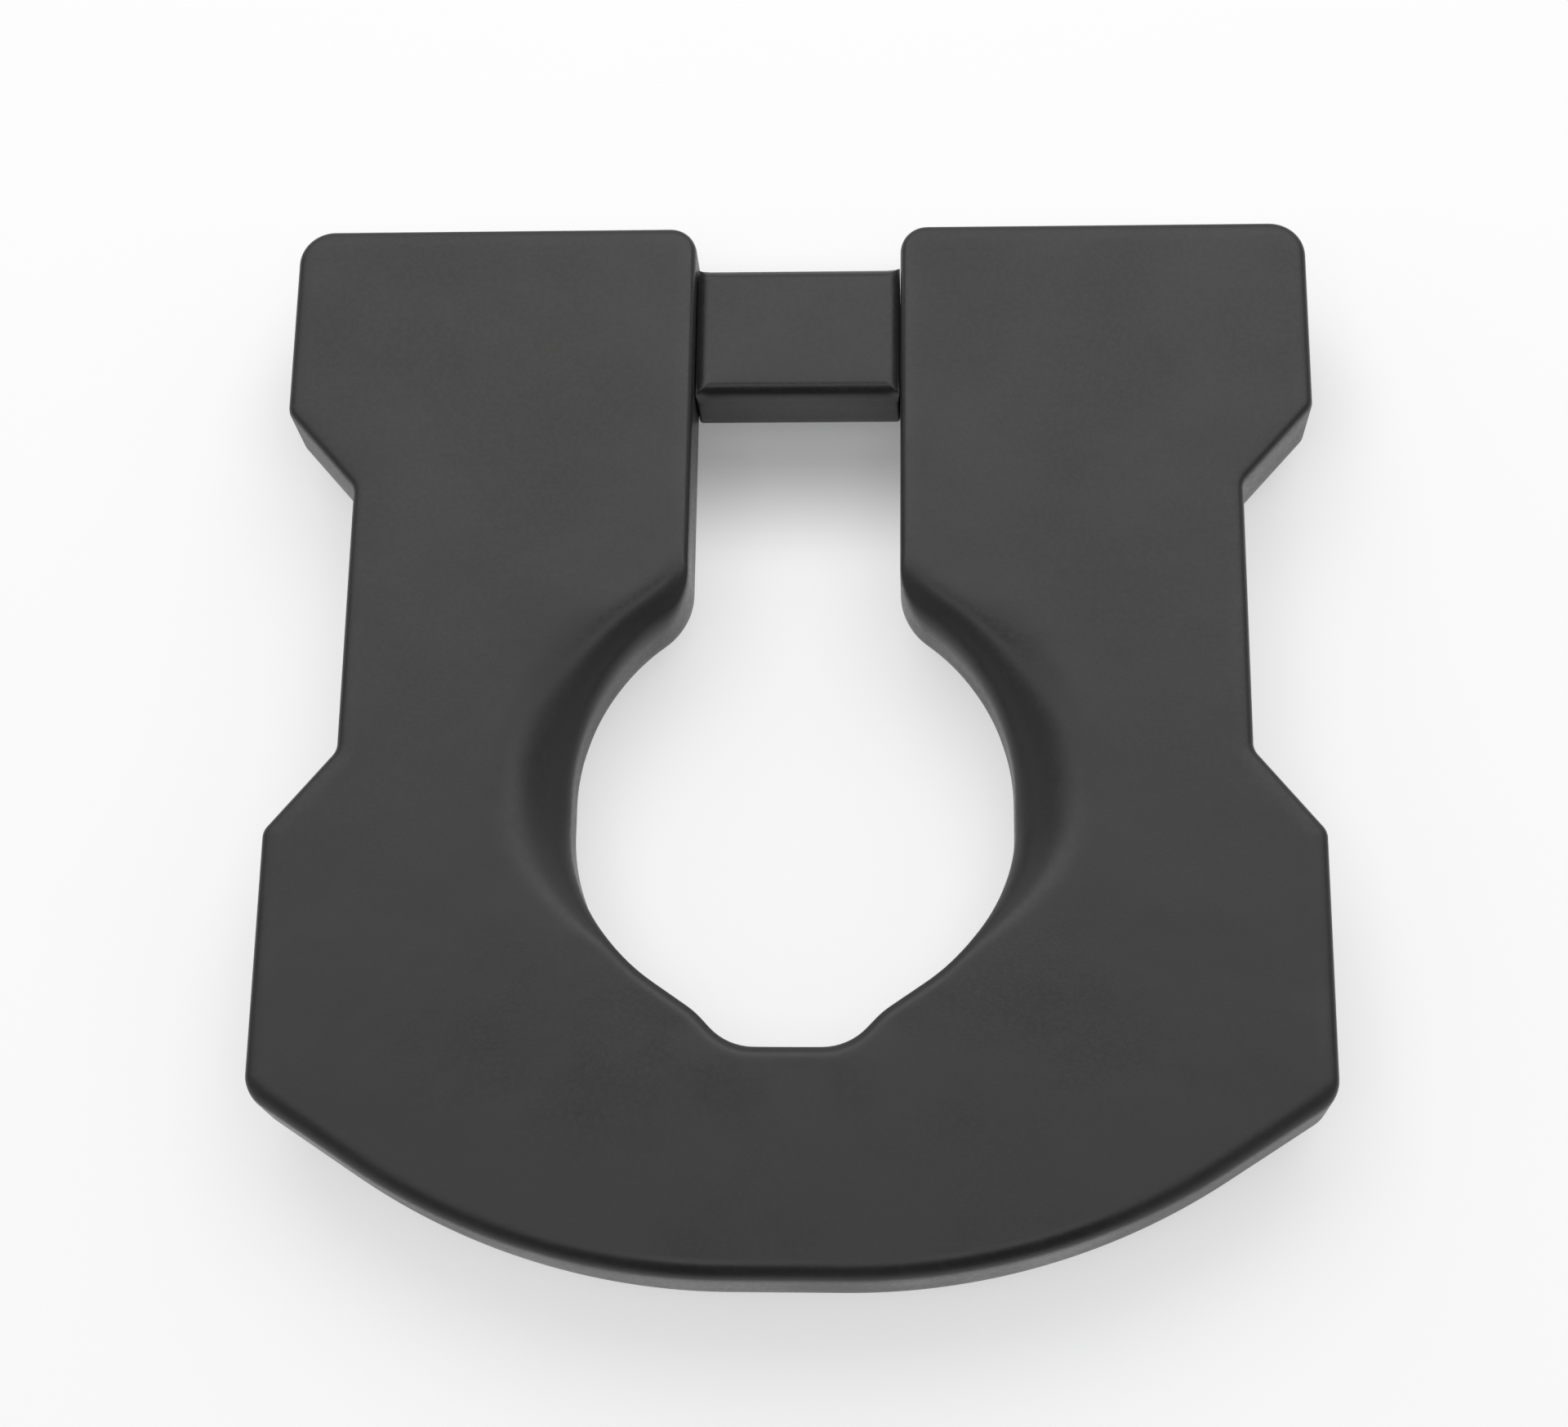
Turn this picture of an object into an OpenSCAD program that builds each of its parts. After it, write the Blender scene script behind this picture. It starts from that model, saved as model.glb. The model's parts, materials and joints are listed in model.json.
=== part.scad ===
// Padded commode and shower chair seat with a keyhole opening, notched sides
// and a slide-out bridge bar that closes the rear of the access gap.
// Millimetres. +X is the sitter's left to right, +Y is the open rear, +Z is up.
// The origin is on the surface the seat lies on, under the middle of its outline.

/* [Seat outline] */
// Width across the front block
seat_w = 450; // [420:2:480]
// Width across the rear block
rear_w = 454; // [430:2:484]
// Depth from the curved front edge to the rear ends of the arms
seat_d = 472; // [450:2:500]
// Thickness of the padded body
pad_t = 40; // [36:1:50]
// Radius of the rolled upper edge
edge_r = 8; // [5:0.5:11]
// Radius of the front edge where it curves back to the sides
front_r = 290; // [260:5:320]
// Where the side notches begin behind the middle
notch_rear = 146; // [140:1:150]
// Where the side notches end in front of the middle
notch_front = 48; // [40:1:54]
// Width left between the floors of the two notches
waist_w = 391; // [380:1:400]

/* [Opening] */
// Width of the seat opening
opening_w = 190; // [180:1:200]
// Distance of the rear arc's centre in front of the middle
opening_rear_y = 28; // [24:1:32]
// Distance of the front arc's centre in front of the middle
opening_front_y = 40; // [36:1:44]
// Front arc's half depth
opening_front_r = 91; // [86:1:95]
// Width of the access gap between the arms
gap_w = 92; // [86:1:96]
// Width of the flat front end of the opening
lobe_w = 50; // [44:1:56]
// Distance of the flat front end in front of the middle
lobe_y = 140.4; // [136:0.2:144]
// Width of the dish beside and behind the opening
dish_w = 24; // [16:1:26]
// Depth of the dish beside and behind the opening
dish_h = 20; // [12:1:22]

/* [Seat board] */
// Thickness of the stiff board moulded into the underside
board_t = 12; // [10:1:15]
// Width of the foam rim left around the board
rim_w = 14; // [12:1:16]

/* [Bridge bar] */
// Front to rear depth of the bar
bridge_d = 64; // [58:1:68]
// Height of the bar's top above the seat's underside
bridge_h = 31.5; // [28:0.5:34]
// Setback of the bar from the rear ends of the arms
bridge_set = 15.8; // [14:0.2:20]
// Clearance between the bar and each arm
bridge_fit = 0.35; // [0.3:0.05:0.6]
// Radius of the bar's rolled upper edge
bridge_r = 5; // [3:0.5:6]

/* [Carrier and rails] */
// Thickness of the carrier plate under the bar
carrier_t = 4; // [3:0.5:4]
// Width of each tongue that runs in a rail
tongue_w = 21.8; // [20:0.2:22]
// Length of the rails
rail_len = 129; // [124:1:129]
// Clearance around each tongue
tongue_fit = 0.4; // [0.3:0.1:0.5]
// Radius of the clamp knobs
knob_r = 12; // [10:1:12.5]

/* [Tube clips] */
// Diameter of the chair's frame tubes
tube_d = 25; // [25:0.1:25.4]
// Distance between the two tubes, centre to centre
tube_gauge = 350; // [344:2:352]
// Height of the tube centres above the bottom of the clips
tube_z = 8; // [7.5:0.25:8]
// Length of each clip along the tube
clip_len = 28; // [24:1:32]
// Distance of the front clips in front of the middle
clip_front = 105; // [95:1:115]
// Distance of the rear clips behind the middle
clip_rear = 190; // [186:1:194]

/* [Fasteners] */
// Radius of the clip screw shank
clip_screw_r = 2.95; // [2.9:0.01:2.97]
// Radius of the rail and bridge screw shank
rail_screw_r = 2.45; // [2.4:0.01:2.47]

/* [Hidden] */

clip_wall = 4;
clip_base = 4.5;
tube_r = tube_d / 2;
pad_z = tube_z + tube_r + clip_base;
rear_y = seat_d / 2;
gap_x = gap_w / 2;
steps = 4;

// Seat fasteners
insert_len = 10;
clip_insert_r = 4.5;
rail_insert_r = 3.5;
washer_t = 1.2;
ear_x = 22;
clip_ys = [-clip_front, clip_rear];
tube_xs = [-tube_gauge / 2, tube_gauge / 2];

// Bridge, carrier and rails
bar_x = gap_x - bridge_fit;
bar_rear = rear_y - bridge_set;
bar_y = bar_rear - bridge_d / 2;
carrier_top = pad_z - tongue_fit;
carrier_z = carrier_top - carrier_t;
lip_top = carrier_z - tongue_fit;
lip_z = 14;
tongue_x0 = 50;
tongue_x1 = tongue_x0 + tongue_w;
web_x0 = tongue_x1 + tongue_fit;
web_w = 12;
web_x1 = web_x0 + web_w;
web_x = web_x0 + web_w / 2;
rail_y1 = rear_y - 15;
rail_y0 = rail_y1 - rail_len;
stop_len = 4.6;
tongue_y0 = rail_y0 + stop_len + tongue_fit;
carrier_y1 = bar_rear - 4;
carrier_y0 = bar_rear - bridge_d + 4;
rail_ys = [rail_y0 + 10, (rail_y0 + rail_y1) / 2, rail_y1 - 10];
knob_x = 61;
knob_y = rail_ys[1] + 31;
knob_z = 3;
bush_r = 4.5;
bridge_screw_x = 24;
bridge_screw_y = 13;

// ---------- outline of the padded body ----------

// Corners of an arc's circumscribed polygon between two directions, with stations from q down,
// dished from the corner numbered first onwards
function arc_corners(rx, ry, cy, a0, a1, n, q, first) =
    let (d = (a1 - a0) / n / 2)
    [
        for (i = [0 : n - 1])
            let (a = a0 + (2 * i + 1) * d, c = cos(a), s = sin(a))
            [
                rx * c / cos(d),
                cy + ry * s / cos(d),
                0.94 * pow(rx * rx * s * s + ry * ry * c * c, 1.5) / (rx * ry),
                i >= first ? 1 : 0,
                q - i
            ]
    ];

function mirrored(list) =
    [
        for (i = [len(list) - 1 : -1 : 0])
            let (c = list[i])
            [-c[0], c[1], c[2], c[3], 20 - c[4]]
    ];

// Each corner is [x, y, plan radius, 1 on the dished part of the opening or 0 elsewhere, station].
// Corners at like stations face each other across the padded body.
outer_right = [
    [gap_x, rear_y, 12, 0, 0],
    [rear_w / 2, rear_y, 16, 0, 0.1],
    [rear_w / 2, notch_rear, 8, 0, 0.2],
    [waist_w / 2, notch_rear - 36, 8, 0, 1.5],
    [waist_w / 2, 36 - notch_front, 8, 0, 3],
    [seat_w / 2, -notch_front, 8, 0, 4],
    [seat_w / 2, -rear_y + 75, 15, 0, 5.5],
    [109.7, -rear_y, front_r, 0, 8]
];
opening_right = concat(
    [[lobe_w / 2, -lobe_y, 25, 0, 8.2], [lobe_w / 2 + 13.9, 15 - lobe_y, 40, 0, 7]],
    arc_corners(opening_w / 2, opening_front_r, -opening_front_y, -54, 0, 3, 6, 2),
    arc_corners(opening_w / 2, opening_w / 2, -opening_rear_y, 0, 52.5, 3, 3, 0),
    [[gap_x, opening_w / 2 - opening_rear_y - 10.6, 30.5, 0, 0.5]]
);
outline = concat(outer_right, mirrored(outer_right), mirrored(opening_right), opening_right);

function turned(v) = [v[1], -v[0]];
function unit(v) = v / norm(v);
function along(c, i) = unit([c[(i + 1) % len(c)][0] - c[i][0], c[(i + 1) % len(c)][1] - c[i][1]]);
function cross2(a, b) = a[0] * b[1] - a[1] * b[0];

// Point where the two offset edges beside corner i meet
function offset_corner(c, i, d0, d1) =
    let (
        p = [c[i][0], c[i][1]],
        u = along(c, (i + len(c) - 1) % len(c)),
        v = along(c, i),
        a = p + turned(u) * d0,
        b = p + turned(v) * d1
    )
    a + u * (cross2(b - a, v) / cross2(u, v));

// A closed ring of points: the outline moved inwards by d, or by dish_d along the dish.
// Each point is [x, y, 0 to 1 along the dish, station].
function ring(c, d, dish_d, n) =
    let (m = len(c))
    [
        for (i = [0 : m - 1])
            let (
                h = (i + m - 1) % m,
                u = along(c, h),
                v = along(c, i),
                e0 = (c[h][3] == 1 || c[i][3] == 1) ? 1 : 0,
                e1 = (c[i][3] == 1 || c[(i + 1) % m][3] == 1) ? 1 : 0,
                d0 = e0 == 1 ? dish_d : d,
                d1 = e1 == 1 ? dish_d : d,
                turn = asin(min(1, max(-1, cross2(u, v)))),
                sharp = u * v < 0 ? (turn < 0 ? -180 - turn : 180 - turn) : turn,
                r = max(c[i][2] + (sharp < 0 ? -1 : 1) * (d0 + d1) / 2, 0.5),
                q = offset_corner(c, i, d0, d1),
                t = r * tan(abs(sharp) / 2),
                side = sharp < 0 ? 1 : -1,
                o = q - u * t + turned(u) * r * side
            )
            for (k = [0 : n])
                let (a = sharp * k / n, w = -turned(u) * side * r)
                [
                    o[0] + w[0] * cos(a) - w[1] * sin(a),
                    o[1] + w[0] * sin(a) + w[1] * cos(a),
                    e0 + (e1 - e0) * k / n,
                    c[i][4]
                ]
    ];

// Triangles that join the first k points of a C-shaped ring to the rest, in order of station
function strip_step(q, k, i, j) =
    i == k - 1 && j == k ? -1 :
    i == k - 1 ? 0 :
    j == k ? 1 :
    q[i + 1] <= q[j - 1] ? 1 : 0;
function strip(q, k) =
    [
        for (
            i = 0, j = len(q) - 1, s = strip_step(q, k, i, j);
            s >= 0;
            i = i + s, j = j - 1 + s, s = strip_step(q, k, i, j)
        )
            s == 1 ? [i, i + 1, j] : [j - 1, j, i]
    ];

// Joins rings of equal length into one closed solid, with the same cap faces at each end
module skin(rings, caps) {
    n = len(rings[0]);
    m = len(rings);
    polyhedron(
        points = [for (r = rings) for (p = r) p],
        faces = concat(
            [for (f = caps) [for (k = [len(f) - 1 : -1 : 0]) f[k]]],
            [
                for (j = [0 : m - 2])
                    for (k = [0 : n - 1])
                        for (f = [0, 1])
                            let (a = j * n + k, b = j * n + (k + 1) % n)
                            f == 0 ? [a, b, b + n] : [a, b + n, a + n]
            ],
            [for (f = caps) [for (k = f) (m - 1) * n + k]]
        )
    );
}

function flat(points, z) = [for (p = points) [p[0], p[1], z]];
function rolled(points, z, h, dish, s) =
    [for (p = points) [p[0], p[1], z - (h + (dish - h) * p[2]) * (1 - s)]];

// ---------- seat ----------

module seat_pad() {
    roll = [0, 22, 44, 67, 90];
    top_z = pad_z + pad_t;
    color("#3b3a3a")
        skin(concat(
            [
                flat(ring(outline, rim_w, rim_w, steps), pad_z + board_t),
                flat(ring(outline, rim_w, rim_w, steps), pad_z),
                flat(ring(outline, 2.5, 2.5, steps), pad_z),
                flat(ring(outline, 0.7, 0.7, steps), pad_z + 0.7),
                flat(ring(outline, 0, 0, steps), pad_z + 2.5)
            ],
            [
                for (a = roll)
                    let (w = 1 - cos(a))
                    rolled(ring(outline, edge_r * w, dish_w * w, steps), top_z, edge_r, dish_h, sin(a))
            ]
        ), strip([for (p = ring(outline, 0, 0, steps)) p[3]], 2 * len(outer_right) * (steps + 1)));
}

module seat_board() {
    board = [for (p = ring(outline, rim_w + 0.1, rim_w + 0.1, steps)) [p[0], p[1]]];
    color("#2b2b2c")
        difference() {
            translate([0, 0, pad_z])
                linear_extrude(board_t)
                    polygon(board);
            for (x = tube_xs, y = clip_ys, s = [-1, 1])
                translate([x + s * ear_x, y, pad_z - 1])
                    cylinder(h = insert_len + 1.2, r = clip_insert_r + 0.02, $fn = 48);
            for (s = [-1, 1], y = rail_ys)
                translate([s * web_x, y, pad_z - 1])
                    cylinder(h = insert_len + 1.2, r = rail_insert_r + 0.02, $fn = 48);
        }
}

// A plain threaded insert, flush with the face at z
module insert(x, y, z, r, bore) {
    translate([x, y, z])
        difference() {
            cylinder(h = insert_len, r = r, $fn = 48);
            translate([0, 0, -1])
                cylinder(h = insert_len + 2, r = bore, $fn = 48);
        }
}

// A pan head screw whose head hangs below the face at z
module screw(x, y, z, shank_r, head_r, head_h, length) {
    translate([x, y, z]) {
        difference() {
            translate([0, 0, -head_h])
                cylinder(h = head_h, r = head_r, $fn = 48);
            translate([0, 0, -head_h - 0.1])
                cylinder(h = head_h * 0.6, r = head_r * 0.45, $fn = 6);
        }
        cylinder(h = length, r = shank_r, $fn = 48);
    }
}

module washer(x, y, z, r, bore) {
    translate([x, y, z - washer_t])
        difference() {
            cylinder(h = washer_t, r = r, $fn = 48);
            translate([0, 0, -1])
                cylinder(h = washer_t + 2, r = bore, $fn = 48);
        }
}

module clip_inserts() {
    color("#b5924a")
        for (x = tube_xs, y = clip_ys, s = [-1, 1])
            insert(x + s * ear_x, y, pad_z, clip_insert_r, clip_screw_r + 0.05);
}

module rail_inserts() {
    color("#b5924a")
        for (s = [-1, 1], y = rail_ys)
            insert(s * web_x, y, pad_z, rail_insert_r, rail_screw_r + 0.05);
}

// ---------- tube clips ----------

// A snap clip that opens downwards over a tube running front to rear
module clip(x, y) {
    mouth = tube_r * 0.9;
    ring_r = tube_r + clip_wall;
    color("#262728")
        translate([x, y, 0])
            difference() {
                union() {
                    translate([0, clip_len / 2, tube_z])
                        rotate([90, 0, 0])
                            cylinder(h = clip_len, r = ring_r, $fn = 96);
                    translate([-30, -clip_len / 2, pad_z - clip_base])
                        cube([60, clip_len, clip_base]);
                    for (s = [-1, 1])
                        translate([s * (ring_r - 2) - 1.5, -clip_len / 2, tube_z])
                            cube([3, clip_len, pad_z - clip_base - tube_z + 1]);
                }
                translate([0, clip_len / 2 + 1, tube_z])
                    rotate([90, 0, 0])
                        cylinder(h = clip_len + 2, r = tube_r, $fn = 96);
                translate([0, clip_len / 2 + 1, 0])
                    rotate([90, 0, 0])
                        linear_extrude(clip_len + 2)
                            polygon([
                                [-mouth - 2.6, -0.5],
                                [mouth + 2.6, -0.5],
                                [mouth - 0.2, 3.5],
                                [0, 5],
                                [0.2 - mouth, 3.5]
                            ]);
                translate([-40, -clip_len / 2 - 1, -20])
                    cube([80, clip_len + 2, 20]);
                translate([-40, -clip_len / 2 - 1, pad_z])
                    cube([80, clip_len + 2, 20]);
                for (s = [-1, 1])
                    translate([s * ear_x, 0, pad_z - clip_base - 1])
                        cylinder(h = clip_base + 2, r = clip_screw_r + 0.35, $fn = 48);
            }
}

module clip_front_left() clip(tube_xs[0], clip_ys[0]);
module clip_front_right() clip(tube_xs[1], clip_ys[0]);
module clip_rear_left() clip(tube_xs[0], clip_ys[1]);
module clip_rear_right() clip(tube_xs[1], clip_ys[1]);

module clip_screws() {
    color("#b9bbbd")
        for (x = tube_xs, y = clip_ys, s = [-1, 1])
            screw(x + s * ear_x, y, pad_z - clip_base - washer_t, clip_screw_r, 5.2, 3.6, 14);
}

module clip_washers() {
    color("#a9abad")
        for (x = tube_xs, y = clip_ys, s = [-1, 1])
            washer(x + s * ear_x, y, pad_z - clip_base, 5.8, clip_screw_r + 0.3);
}

// ---------- rails ----------

module rail(s) {
    color("#303133")
        difference() {
            union() {
                translate([s > 0 ? web_x0 : -web_x1, rail_y0, lip_z])
                    cube([web_w, rail_len, pad_z - lip_z]);
                translate([s > 0 ? tongue_x0 - 1 : -web_x0 - 1, rail_y0, lip_z])
                    cube([web_x0 - tongue_x0 + 2, rail_len, lip_top - lip_z]);
            }
            for (y = rail_ys)
                translate([s * web_x, y, lip_z - 1])
                    cylinder(h = pad_z, r = rail_screw_r + 0.3, $fn = 48);
            translate([s * knob_x, knob_y, lip_z - 1])
                cylinder(h = 20, r = bush_r + 0.02, $fn = 48);
        }
}

module rail_left() rail(-1);
module rail_right() rail(1);

module rail_screws() {
    color("#b9bbbd")
        for (s = [-1, 1], y = rail_ys)
            screw(s * web_x, y, lip_z - washer_t, rail_screw_r, 4.6, 3.1, pad_z - lip_z + 10);
}

module rail_washers() {
    color("#a9abad")
        for (s = [-1, 1], y = rail_ys)
            washer(s * web_x, y, lip_z, 5.4, rail_screw_r + 0.25);
}

module rail_stops() {
    color("#1d1d1e")
        for (s = [-1, 1])
            translate([s > 0 ? tongue_x0 + 1 : -web_x0 + 0.2, rail_y0, lip_top])
                cube([web_x0 - tongue_x0 - 1.2, stop_len, carrier_top - lip_top]);
}

module knob_bushes() {
    color("#b5924a")
        for (s = [-1, 1])
            translate([s * knob_x, knob_y, lip_z])
                difference() {
                    cylinder(h = lip_top - lip_z, r = bush_r, $fn = 48);
                    translate([0, 0, -1])
                        cylinder(h = 10, r = 3, $fn = 48);
                }
}

// ---------- bridge ----------

bar_outline = [
    [-bar_x, bar_rear, 1.5, 0, 0],
    [bar_x, bar_rear, 1.5, 0, 0],
    [bar_x, bar_rear - bridge_d, 1.5, 0, 0],
    [-bar_x, bar_rear - bridge_d, 1.5, 0, 0]
];

module bridge_pad() {
    n = 6;
    top_z = pad_z + bridge_h;
    inset = 10;
    color("#3b3a3a")
        skin(concat(
            [
                flat(ring(bar_outline, inset, 0, n), carrier_top + board_t),
                flat(ring(bar_outline, inset, 0, n), carrier_top),
                flat(ring(bar_outline, 1.5, 0, n), carrier_top),
                flat(ring(bar_outline, 0, 0, n), carrier_top + 1.5)
            ],
            [
                for (a = [0 : 15 : 90])
                    flat(ring(bar_outline, bridge_r * (1 - cos(a)), 0, n), top_z - bridge_r * (1 - sin(a)))
            ]
        ), [[for (k = [0 : 4 * (n + 1) - 1]) k]]);
}

module bridge_board() {
    inset = 10.25;
    color("#2b2b2c")
        difference() {
            translate([-bar_x + inset, bar_rear - bridge_d + inset, carrier_top])
                cube([2 * (bar_x - inset), bridge_d - 2 * inset, board_t]);
            for (x = [-bridge_screw_x, bridge_screw_x], y = [-bridge_screw_y, bridge_screw_y])
                translate([x, bar_y + y, carrier_top - 1])
                    cylinder(h = insert_len + 1.2, r = rail_insert_r + 0.02, $fn = 48);
        }
}

module bridge_inserts() {
    color("#b5924a")
        for (x = [-bridge_screw_x, bridge_screw_x], y = [-bridge_screw_y, bridge_screw_y])
            insert(x, bar_y + y, carrier_top, rail_insert_r, rail_screw_r + 0.05);
}

// A flat plate with a long tongue on each side that runs in the rails
module bridge_carrier() {
    color("#a4a7aa")
        difference() {
            union() {
                translate([-tongue_x1, carrier_y0, carrier_z])
                    cube([2 * tongue_x1, carrier_y1 - carrier_y0, carrier_t]);
                for (s = [-1, 1])
                    translate([s > 0 ? tongue_x0 : -tongue_x1, tongue_y0, carrier_z])
                        cube([tongue_w, carrier_y1 - tongue_y0, carrier_t]);
            }
            for (x = [-bridge_screw_x, bridge_screw_x], y = [-bridge_screw_y, bridge_screw_y])
                translate([x, bar_y + y, carrier_z - 1])
                    cylinder(h = carrier_t + 2, r = rail_screw_r + 0.2, $fn = 48);
        }
}

module bridge_screws() {
    color("#b9bbbd")
        for (x = [-bridge_screw_x, bridge_screw_x], y = [-bridge_screw_y, bridge_screw_y])
            screw(x, bar_y + y, carrier_z, rail_screw_r, 4.6, 3.1, 13);
}

// ---------- clamp knobs ----------

module knob(s) {
    color("#1f2021")
        translate([s * knob_x, knob_y, knob_z])
            difference() {
                union() {
                    cylinder(h = 7.5, r = knob_r, $fn = 72);
                    cylinder(h = 10.2, r = 6, $fn = 48);
                }
                for (a = [0 : 60 : 300])
                    rotate([0, 0, a])
                        translate([knob_r + 2.4, 0, -1])
                            cylinder(h = 9.6, r = 4.4, $fn = 36);
                translate([0, 0, 2.5])
                    cylinder(h = 9, r = clip_screw_r + 0.01, $fn = 48);
            }
}

module knob_left() knob(-1);
module knob_right() knob(1);

module knob_stud(s) {
    color("#b9bbbd")
        translate([s * knob_x, knob_y, knob_z + 2.5])
            cylinder(h = lip_top - knob_z - 2.5, r = clip_screw_r, $fn = 48);
}

module knob_stud_left() knob_stud(-1);
module knob_stud_right() knob_stud(1);

seat_pad();
seat_board();
clip_inserts();
rail_inserts();
clip_front_left();
clip_front_right();
clip_rear_left();
clip_rear_right();
clip_screws();
clip_washers();
rail_left();
rail_right();
rail_screws();
rail_washers();
rail_stops();
knob_bushes();
bridge_pad();
bridge_board();
bridge_inserts();
bridge_carrier();
bridge_screws();
knob_left();
knob_right();
knob_stud_left();
knob_stud_right();
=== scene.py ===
"""A padded commode seat with a keyhole opening and a slide-out bridge bar: foam skins and finishes
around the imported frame, with a floor, studio lights and a camera. Metres; outlines are in millimetres."""
import json
import math

import bpy
import numpy as np
from mathutils import Matrix, Vector
from mathutils.geometry import delaunay_2d_cdt


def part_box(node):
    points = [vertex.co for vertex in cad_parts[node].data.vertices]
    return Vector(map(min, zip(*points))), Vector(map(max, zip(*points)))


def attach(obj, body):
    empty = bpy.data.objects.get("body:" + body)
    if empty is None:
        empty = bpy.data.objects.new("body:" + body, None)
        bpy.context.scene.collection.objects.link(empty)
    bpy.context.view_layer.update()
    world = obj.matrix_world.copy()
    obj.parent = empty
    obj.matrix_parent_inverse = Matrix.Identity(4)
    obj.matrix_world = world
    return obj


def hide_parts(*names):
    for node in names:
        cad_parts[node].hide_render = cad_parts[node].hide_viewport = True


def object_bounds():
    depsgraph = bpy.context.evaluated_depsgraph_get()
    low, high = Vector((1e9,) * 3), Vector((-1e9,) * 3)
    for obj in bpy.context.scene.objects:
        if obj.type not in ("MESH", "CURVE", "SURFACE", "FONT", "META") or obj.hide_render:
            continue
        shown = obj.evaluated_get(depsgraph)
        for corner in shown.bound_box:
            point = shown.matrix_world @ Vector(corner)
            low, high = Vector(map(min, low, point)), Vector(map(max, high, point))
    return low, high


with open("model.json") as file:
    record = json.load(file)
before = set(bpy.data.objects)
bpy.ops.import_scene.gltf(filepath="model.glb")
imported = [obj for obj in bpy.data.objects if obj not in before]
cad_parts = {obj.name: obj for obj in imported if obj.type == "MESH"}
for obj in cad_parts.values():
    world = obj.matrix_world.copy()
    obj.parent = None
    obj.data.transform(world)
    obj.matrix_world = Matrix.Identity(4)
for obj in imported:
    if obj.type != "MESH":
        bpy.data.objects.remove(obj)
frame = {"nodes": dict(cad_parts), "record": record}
cad_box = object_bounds()
nodes = frame["nodes"]
MM = 0.001

# ---------------------------------------------------------------- camera

middle = (cad_box[0] + cad_box[1]) / 2
camera = bpy.data.objects.new("camera", bpy.data.cameras.new("camera"))
bpy.context.scene.collection.objects.link(camera)
bpy.context.scene.camera = camera
camera.data.sensor_width = 36.0
camera.data.lens = 67.5
camera.data.clip_start, camera.data.clip_end = 0.05, 60.0
TILT, HEADING, ROLL = 18.81, 8.73, -8.386  # degrees from straight down, about the vertical, about the lens
turn = (
    Matrix.Rotation(math.radians(HEADING), 4, "Z")
    @ Matrix.Rotation(math.radians(TILT), 4, "X")
    @ Matrix.Rotation(math.radians(ROLL), 4, "Z")
)
camera.matrix_world = Matrix.Translation(middle + Vector((0.0580, -0.3961, 1.2186))) @ turn

# ---------------------------------------------------------------- outlines

SIDE, OPENING, FRONT = 0, 1, 2


def arc_corners(rx, ry, cy, a0, a1, n):
    """Corners of an elliptical arc's circumscribed polygon."""
    half = math.radians(a1 - a0) / n / 2
    out = []
    for i in range(n):
        a = math.radians(a0) + (2 * i + 1) * half
        c, s = math.cos(a), math.sin(a)
        r = 0.94 * (rx * rx * s * s + ry * ry * c * c) ** 1.5 / (rx * ry)
        out.append((rx * c / math.cos(half), cy + ry * s / math.cos(half), r, OPENING, 8))
    return out


# x, y, plan radius, which kind of edge it belongs to, segments of its arc
OUTER = [
    (46, 236, 12, SIDE, 12), (227, 236, 16, SIDE, 14), (227, 146, 8, SIDE, 8), (195.5, 110, 8, SIDE, 8),
    (195.5, -12, 8, SIDE, 8), (225, -48, 8, SIDE, 8), (225, -161, 15, SIDE, 10), (109.7, -236, 290, FRONT, 40),
]
HOLE = (
    [(25, -140.4, 25, OPENING, 8), (38.9, -125.4, 40, OPENING, 8)]
    + arc_corners(95, 91, -40, -54, 0, 3)
    + arc_corners(95, 95, -28, 0, 52.5, 3)
    + [(46, 56.4, 30.5, SIDE, 14)]
)


def mirrored(corners):
    return [(-x, y, r, kind, n) for x, y, r, kind, n in reversed(corners)]


SEAT = OUTER + mirrored(OUTER) + mirrored(HOLE) + HOLE


def turned(v):
    """The vector a quarter turn clockwise, which points inwards for a clockwise outline."""
    return np.array([v[1], -v[0]])


def cross(a, b):
    return a[0] * b[1] - a[1] * b[0]


def edge_kind(a, b):
    if FRONT in (a[3], b[3]):
        return FRONT
    return OPENING if OPENING in (a[3], b[3]) else SIDE


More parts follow.
